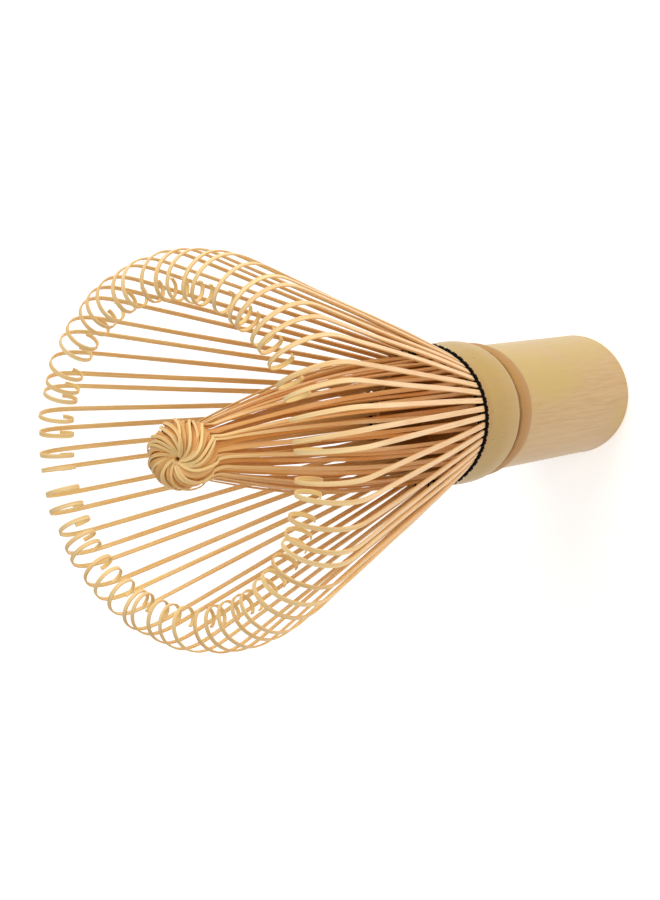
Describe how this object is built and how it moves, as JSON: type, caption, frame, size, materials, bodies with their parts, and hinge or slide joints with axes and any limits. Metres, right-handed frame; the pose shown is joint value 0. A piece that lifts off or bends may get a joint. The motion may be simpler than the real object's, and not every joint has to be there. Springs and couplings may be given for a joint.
{
  "type": "tea whisk",
  "caption": "Bamboo tea whisk: hollow culm handle with a node scar, a ring of flared tines with curled tips, and a centre bundle of tines gathered into a twisted knot.",
  "frame": {"origin": "centre of the flat base of the handle, on the whisk's axis", "axes": "+Z along the whisk's axis from the base of the handle to the tips of the tines; +X towards the first outer tine"},
  "size_m": [0.0534, 0.0534, 0.1183],
  "materials": {
    "culm_bamboo": "satin",
    "tine_bamboo": "satin",
    "thread": "matte"
  },
  "bodies": {
    "stem": {"culm": "culm_bamboo", "binding_thread": "thread", "inner_tines": "tine_bamboo"},
    "tine_01": {"outer_tine_01": "tine_bamboo"},
    "tine_02": {"outer_tine_02": "tine_bamboo"},
    "tine_03": {"outer_tine_03": "tine_bamboo"},
    "tine_04": {"outer_tine_04": "tine_bamboo"},
    "tine_05": {"outer_tine_05": "tine_bamboo"},
    "tine_06": {"outer_tine_06": "tine_bamboo"},
    "tine_07": {"outer_tine_07": "tine_bamboo"},
    "tine_08": {"outer_tine_08": "tine_bamboo"},
    "tine_09": {"outer_tine_09": "tine_bamboo"},
    "tine_10": {"outer_tine_10": "tine_bamboo"},
    "tine_11": {"outer_tine_11": "tine_bamboo"},
    "tine_12": {"outer_tine_12": "tine_bamboo"},
    "tine_13": {"outer_tine_13": "tine_bamboo"},
    "tine_14": {"outer_tine_14": "tine_bamboo"},
    "tine_15": {"outer_tine_15": "tine_bamboo"},
    "tine_16": {"outer_tine_16": "tine_bamboo"},
    "tine_17": {"outer_tine_17": "tine_bamboo"},
    "tine_18": {"outer_tine_18": "tine_bamboo"},
    "tine_19": {"outer_tine_19": "tine_bamboo"},
    "tine_20": {"outer_tine_20": "tine_bamboo"},
    "tine_21": {"outer_tine_21": "tine_bamboo"},
    "tine_22": {"outer_tine_22": "tine_bamboo"},
    "tine_23": {"outer_tine_23": "tine_bamboo"},
    "tine_24": {"outer_tine_24": "tine_bamboo"},
    "tine_25": {"outer_tine_25": "tine_bamboo"},
    "tine_26": {"outer_tine_26": "tine_bamboo"},
    "tine_27": {"outer_tine_27": "tine_bamboo"},
    "tine_28": {"outer_tine_28": "tine_bamboo"},
    "tine_29": {"outer_tine_29": "tine_bamboo"},
    "tine_30": {"outer_tine_30": "tine_bamboo"},
    "tine_31": {"outer_tine_31": "tine_bamboo"},
    "tine_32": {"outer_tine_32": "tine_bamboo"},
    "tine_33": {"outer_tine_33": "tine_bamboo"},
    "tine_34": {"outer_tine_34": "tine_bamboo"},
    "tine_35": {"outer_tine_35": "tine_bamboo"},
    "tine_36": {"outer_tine_36": "tine_bamboo"},
    "tine_37": {"outer_tine_37": "tine_bamboo"},
    "tine_38": {"outer_tine_38": "tine_bamboo"},
    "tine_39": {"outer_tine_39": "tine_bamboo"},
    "tine_40": {"outer_tine_40": "tine_bamboo"},
    "tine_41": {"outer_tine_41": "tine_bamboo"},
    "tine_42": {"outer_tine_42": "tine_bamboo"},
    "tine_43": {"outer_tine_43": "tine_bamboo"},
    "tine_44": {"outer_tine_44": "tine_bamboo"},
    "tine_45": {"outer_tine_45": "tine_bamboo"},
    "tine_46": {"outer_tine_46": "tine_bamboo"},
    "tine_47": {"outer_tine_47": "tine_bamboo"},
    "tine_48": {"outer_tine_48": "tine_bamboo"},
    "tine_49": {"outer_tine_49": "tine_bamboo"},
    "tine_50": {"outer_tine_50": "tine_bamboo"},
    "tine_51": {"outer_tine_51": "tine_bamboo"},
    "tine_52": {"outer_tine_52": "tine_bamboo"},
    "tine_53": {"outer_tine_53": "tine_bamboo"},
    "tine_54": {"outer_tine_54": "tine_bamboo"},
    "tine_55": {"outer_tine_55": "tine_bamboo"},
    "tine_56": {"outer_tine_56": "tine_bamboo"}
  },
  "joints": [
    {"name": "tine_flex_01", "type": "hinge", "parent": "stem", "child": "tine_01", "pos_m": [0.01138, 0, 0.055], "axis": [0, 1, 0], "range_deg": [-6, 4], "stiffness_Nm_per_rad": 0.0015},
    {"name": "tine_flex_02", "type": "hinge", "parent": "stem", "child": "tine_02", "pos_m": [0.01131, 0.00127, 0.055], "axis": [-0.112, 0.9937, 0], "range_deg": [-6, 4], "stiffness_Nm_per_rad": 0.0015},
    {"name": "tine_flex_03", "type": "hinge", "parent": "stem", "child": "tine_03", "pos_m": [0.01109, 0.00253, 0.055], "axis": [-0.2225, 0.9749, 0], "range_deg": [-6, 4], "stiffness_Nm_per_rad": 0.0015},
    {"name": "tine_flex_04", "type": "hinge", "parent": "stem", "child": "tine_04", "pos_m": [0.01074, 0.00376, 0.055], "axis": [-0.3303, 0.9439, 0], "range_deg": [-6, 4], "stiffness_Nm_per_rad": 0.0015},
    {"name": "tine_flex_05", "type": "hinge", "parent": "stem", "child": "tine_05", "pos_m": [0.01025, 0.00494, 0.055], "axis": [-0.4339, 0.901, 0], "range_deg": [-6, 4], "stiffness_Nm_per_rad": 0.0015},
    {"name": "tine_flex_06", "type": "hinge", "parent": "stem", "child": "tine_06", "pos_m": [0.00964, 0.00605, 0.055], "axis": [-0.532, 0.8467, 0], "range_deg": [-6, 4], "stiffness_Nm_per_rad": 0.0015},
    {"name": "tine_flex_07", "type": "hinge", "parent": "stem", "child": "tine_07", "pos_m": [0.0089, 0.0071, 0.055], "axis": [-0.6235, 0.7818, 0], "range_deg": [-6, 4], "stiffness_Nm_per_rad": 0.0015},
    {"name": "tine_flex_08", "type": "hinge", "parent": "stem", "child": "tine_08", "pos_m": [0.00805, 0.00805, 0.055], "axis": [-0.7071, 0.7071, 0], "range_deg": [-6, 4], "stiffness_Nm_per_rad": 0.0015},
    {"name": "tine_flex_09", "type": "hinge", "parent": "stem", "child": "tine_09", "pos_m": [0.0071, 0.0089, 0.055], "axis": [-0.7818, 0.6235, 0], "range_deg": [-6, 4], "stiffness_Nm_per_rad": 0.0015},
    {"name": "tine_flex_10", "type": "hinge", "parent": "stem", "child": "tine_10", "pos_m": [0.00605, 0.00964, 0.055], "axis": [-0.8467, 0.532, 0], "range_deg": [-6, 4], "stiffness_Nm_per_rad": 0.0015},
    {"name": "tine_flex_11", "type": "hinge", "parent": "stem", "child": "tine_11", "pos_m": [0.00494, 0.01025, 0.055], "axis": [-0.901, 0.4339, 0], "range_deg": [-6, 4], "stiffness_Nm_per_rad": 0.0015},
    {"name": "tine_flex_12", "type": "hinge", "parent": "stem", "child": "tine_12", "pos_m": [0.00376, 0.01074, 0.055], "axis": [-0.9439, 0.3303, 0], "range_deg": [-6, 4], "stiffness_Nm_per_rad": 0.0015},
    {"name": "tine_flex_13", "type": "hinge", "parent": "stem", "child": "tine_13", "pos_m": [0.00253, 0.01109, 0.055], "axis": [-0.9749, 0.2225, 0], "range_deg": [-6, 4], "stiffness_Nm_per_rad": 0.0015},
    {"name": "tine_flex_14", "type": "hinge", "parent": "stem", "child": "tine_14", "pos_m": [0.00127, 0.01131, 0.055], "axis": [-0.9937, 0.112, 0], "range_deg": [-6, 4], "stiffness_Nm_per_rad": 0.0015},
    {"name": "tine_flex_15", "type": "hinge", "parent": "stem", "child": "tine_15", "pos_m": [0, 0.01138, 0.055], "axis": [-1, 0, 0], "range_deg": [-6, 4], "stiffness_Nm_per_rad": 0.0015},
    {"name": "tine_flex_16", "type": "hinge", "parent": "stem", "child": "tine_16", "pos_m": [-0.00127, 0.01131, 0.055], "axis": [-0.9937, -0.112, 0], "range_deg": [-6, 4], "stiffness_Nm_per_rad": 0.0015},
    {"name": "tine_flex_17", "type": "hinge", "parent": "stem", "child": "tine_17", "pos_m": [-0.00253, 0.01109, 0.055], "axis": [-0.9749, -0.2225, 0], "range_deg": [-6, 4], "stiffness_Nm_per_rad": 0.0015},
    {"name": "tine_flex_18", "type": "hinge", "parent": "stem", "child": "tine_18", "pos_m": [-0.00376, 0.01074, 0.055], "axis": [-0.9439, -0.3303, 0], "range_deg": [-6, 4], "stiffness_Nm_per_rad": 0.0015},
    {"name": "tine_flex_19", "type": "hinge", "parent": "stem", "child": "tine_19", "pos_m": [-0.00494, 0.01025, 0.055], "axis": [-0.901, -0.4339, 0], "range_deg": [-6, 4], "stiffness_Nm_per_rad": 0.0015},
    {"name": "tine_flex_20", "type": "hinge", "parent": "stem", "child": "tine_20", "pos_m": [-0.00605, 0.00964, 0.055], "axis": [-0.8467, -0.532, 0], "range_deg": [-6, 4], "stiffness_Nm_per_rad": 0.0015},
    {"name": "tine_flex_21", "type": "hinge", "parent": "stem", "child": "tine_21", "pos_m": [-0.0071, 0.0089, 0.055], "axis": [-0.7818, -0.6235, 0], "range_deg": [-6, 4], "stiffness_Nm_per_rad": 0.0015},
    {"name": "tine_flex_22", "type": "hinge", "parent": "stem", "child": "tine_22", "pos_m": [-0.00805, 0.00805, 0.055], "axis": [-0.7071, -0.7071, 0], "range_deg": [-6, 4], "stiffness_Nm_per_rad": 0.0015},
    {"name": "tine_flex_23", "type": "hinge", "parent": "stem", "child": "tine_23", "pos_m": [-0.0089, 0.0071, 0.055], "axis": [-0.6235, -0.7818, 0], "range_deg": [-6, 4], "stiffness_Nm_per_rad": 0.0015},
    {"name": "tine_flex_24", "type": "hinge", "parent": "stem", "child": "tine_24", "pos_m": [-0.00964, 0.00605, 0.055], "axis": [-0.532, -0.8467, 0], "range_deg": [-6, 4], "stiffness_Nm_per_rad": 0.0015},
    {"name": "tine_flex_25", "type": "hinge", "parent": "stem", "child": "tine_25", "pos_m": [-0.01025, 0.00494, 0.055], "axis": [-0.4339, -0.901, 0], "range_deg": [-6, 4], "stiffness_Nm_per_rad": 0.0015},
    {"name": "tine_flex_26", "type": "hinge", "parent": "stem", "child": "tine_26", "pos_m": [-0.01074, 0.00376, 0.055], "axis": [-0.3303, -0.9439, 0], "range_deg": [-6, 4], "stiffness_Nm_per_rad": 0.0015},
    {"name": "tine_flex_27", "type": "hinge", "parent": "stem", "child": "tine_27", "pos_m": [-0.01109, 0.00253, 0.055], "axis": [-0.2225, -0.9749, 0], "range_deg": [-6, 4], "stiffness_Nm_per_rad": 0.0015},
    {"name": "tine_flex_28", "type": "hinge", "parent": "stem", "child": "tine_28", "pos_m": [-0.01131, 0.00127, 0.055], "axis": [-0.112, -0.9937, 0], "range_deg": [-6, 4], "stiffness_Nm_per_rad": 0.0015},
    {"name": "tine_flex_29", "type": "hinge", "parent": "stem", "child": "tine_29", "pos_m": [-0.01138, 0, 0.055], "axis": [0, -1, 0], "range_deg": [-6, 4], "stiffness_Nm_per_rad": 0.0015},
    {"name": "tine_flex_30", "type": "hinge", "parent": "stem", "child": "tine_30", "pos_m": [-0.01131, -0.00127, 0.055], "axis": [0.112, -0.9937, 0], "range_deg": [-6, 4], "stiffness_Nm_per_rad": 0.0015},
    {"name": "tine_flex_31", "type": "hinge", "parent": "stem", "child": "tine_31", "pos_m": [-0.01109, -0.00253, 0.055], "axis": [0.2225, -0.9749, 0], "range_deg": [-6, 4], "stiffness_Nm_per_rad": 0.0015},
    {"name": "tine_flex_32", "type": "hinge", "parent": "stem", "child": "tine_32", "pos_m": [-0.01074, -0.00376, 0.055], "axis": [0.3303, -0.9439, 0], "range_deg": [-6, 4], "stiffness_Nm_per_rad": 0.0015},
    {"name": "tine_flex_33", "type": "hinge", "parent": "stem", "child": "tine_33", "pos_m": [-0.01025, -0.00494, 0.055], "axis": [0.4339, -0.901, 0], "range_deg": [-6, 4], "stiffness_Nm_per_rad": 0.0015},
    {"name": "tine_flex_34", "type": "hinge", "parent": "stem", "child": "tine_34", "pos_m": [-0.00964, -0.00605, 0.055], "axis": [0.532, -0.8467, 0], "range_deg": [-6, 4], "stiffness_Nm_per_rad": 0.0015},
    {"name": "tine_flex_35", "type": "hinge", "parent": "stem", "child": "tine_35", "pos_m": [-0.0089, -0.0071, 0.055], "axis": [0.6235, -0.7818, 0], "range_deg": [-6, 4], "stiffness_Nm_per_rad": 0.0015},
    {"name": "tine_flex_36", "type": "hinge", "parent": "stem", "child": "tine_36", "pos_m": [-0.00805, -0.00805, 0.055], "axis": [0.7071, -0.7071, 0], "range_deg": [-6, 4], "stiffness_Nm_per_rad": 0.0015},
    {"name": "tine_flex_37", "type": "hinge", "parent": "stem", "child": "tine_37", "pos_m": [-0.0071, -0.0089, 0.055], "axis": [0.7818, -0.6235, 0], "range_deg": [-6, 4], "stiffness_Nm_per_rad": 0.0015},
    {"name": "tine_flex_38", "type": "hinge", "parent": "stem", "child": "tine_38", "pos_m": [-0.00605, -0.00964, 0.055], "axis": [0.8467, -0.532, 0], "range_deg": [-6, 4], "stiffness_Nm_per_rad": 0.0015},
    {"name": "tine_flex_39", "type": "hinge", "parent": "stem", "child": "tine_39", "pos_m": [-0.00494, -0.01025, 0.055], "axis": [0.901, -0.4339, 0], "range_deg": [-6, 4], "stiffness_Nm_per_rad": 0.0015},
    {"name": "tine_flex_40", "type": "hinge", "parent": "stem", "child": "tine_40", "pos_m": [-0.00376, -0.01074, 0.055], "axis": [0.9439, -0.3303, 0], "range_deg": [-6, 4], "stiffness_Nm_per_rad": 0.0015},
    {"name": "tine_flex_41", "type": "hinge", "parent": "stem", "child": "tine_41", "pos_m": [-0.00253, -0.01109, 0.055], "axis": [0.9749, -0.2225, 0], "range_deg": [-6, 4], "stiffness_Nm_per_rad": 0.0015},
    {"name": "tine_flex_42", "type": "hinge", "parent": "stem", "child": "tine_42", "pos_m": [-0.00127, -0.01131, 0.055], "axis": [0.9937, -0.112, 0], "range_deg": [-6, 4], "stiffness_Nm_per_rad": 0.0015},
    {"name": "tine_flex_43", "type": "hinge", "parent": "stem", "child": "tine_43", "pos_m": [0, -0.01138, 0.055], "axis": [1, 0, 0], "range_deg": [-6, 4], "stiffness_Nm_per_rad": 0.0015},
    {"name": "tine_flex_44", "type": "hinge", "parent": "stem", "child": "tine_44", "pos_m": [0.00127, -0.01131, 0.055], "axis": [0.9937, 0.112, 0], "range_deg": [-6, 4], "stiffness_Nm_per_rad": 0.0015},
    {"name": "tine_flex_45", "type": "hinge", "parent": "stem", "child": "tine_45", "pos_m": [0.00253, -0.01109, 0.055], "axis": [0.9749, 0.2225, 0], "range_deg": [-6, 4], "stiffness_Nm_per_rad": 0.0015},
    {"name": "tine_flex_46", "type": "hinge", "parent": "stem", "child": "tine_46", "pos_m": [0.00376, -0.01074, 0.055], "axis": [0.9439, 0.3303, 0], "range_deg": [-6, 4], "stiffness_Nm_per_rad": 0.0015},
    {"name": "tine_flex_47", "type": "hinge", "parent": "stem", "child": "tine_47", "pos_m": [0.00494, -0.01025, 0.055], "axis": [0.901, 0.4339, 0], "range_deg": [-6, 4], "stiffness_Nm_per_rad": 0.0015},
    {"name": "tine_flex_48", "type": "hinge", "parent": "stem", "child": "tine_48", "pos_m": [0.00605, -0.00964, 0.055], "axis": [0.8467, 0.532, 0], "range_deg": [-6, 4], "stiffness_Nm_per_rad": 0.0015},
    {"name": "tine_flex_49", "type": "hinge", "parent": "stem", "child": "tine_49", "pos_m": [0.0071, -0.0089, 0.055], "axis": [0.7818, 0.6235, 0], "range_deg": [-6, 4], "stiffness_Nm_per_rad": 0.0015},
    {"name": "tine_flex_50", "type": "hinge", "parent": "stem", "child": "tine_50", "pos_m": [0.00805, -0.00805, 0.055], "axis": [0.7071, 0.7071, 0], "range_deg": [-6, 4], "stiffness_Nm_per_rad": 0.0015},
    {"name": "tine_flex_51", "type": "hinge", "parent": "stem", "child": "tine_51", "pos_m": [0.0089, -0.0071, 0.055], "axis": [0.6235, 0.7818, 0], "range_deg": [-6, 4], "stiffness_Nm_per_rad": 0.0015},
    {"name": "tine_flex_52", "type": "hinge", "parent": "stem", "child": "tine_52", "pos_m": [0.00964, -0.00605, 0.055], "axis": [0.532, 0.8467, 0], "range_deg": [-6, 4], "stiffness_Nm_per_rad": 0.0015},
    {"name": "tine_flex_53", "type": "hinge", "parent": "stem", "child": "tine_53", "pos_m": [0.01025, -0.00494, 0.055], "axis": [0.4339, 0.901, 0], "range_deg": [-6, 4], "stiffness_Nm_per_rad": 0.0015},
    {"name": "tine_flex_54", "type": "hinge", "parent": "stem", "child": "tine_54", "pos_m": [0.01074, -0.00376, 0.055], "axis": [0.3303, 0.9439, 0], "range_deg": [-6, 4], "stiffness_Nm_per_rad": 0.0015},
    {"name": "tine_flex_55", "type": "hinge", "parent": "stem", "child": "tine_55", "pos_m": [0.01109, -0.00253, 0.055], "axis": [0.2225, 0.9749, 0], "range_deg": [-6, 4], "stiffness_Nm_per_rad": 0.0015},
    {"name": "tine_flex_56", "type": "hinge", "parent": "stem", "child": "tine_56", "pos_m": [0.01131, -0.00127, 0.055], "axis": [0.112, 0.9937, 0], "range_deg": [-6, 4], "stiffness_Nm_per_rad": 0.0015}
  ]
}
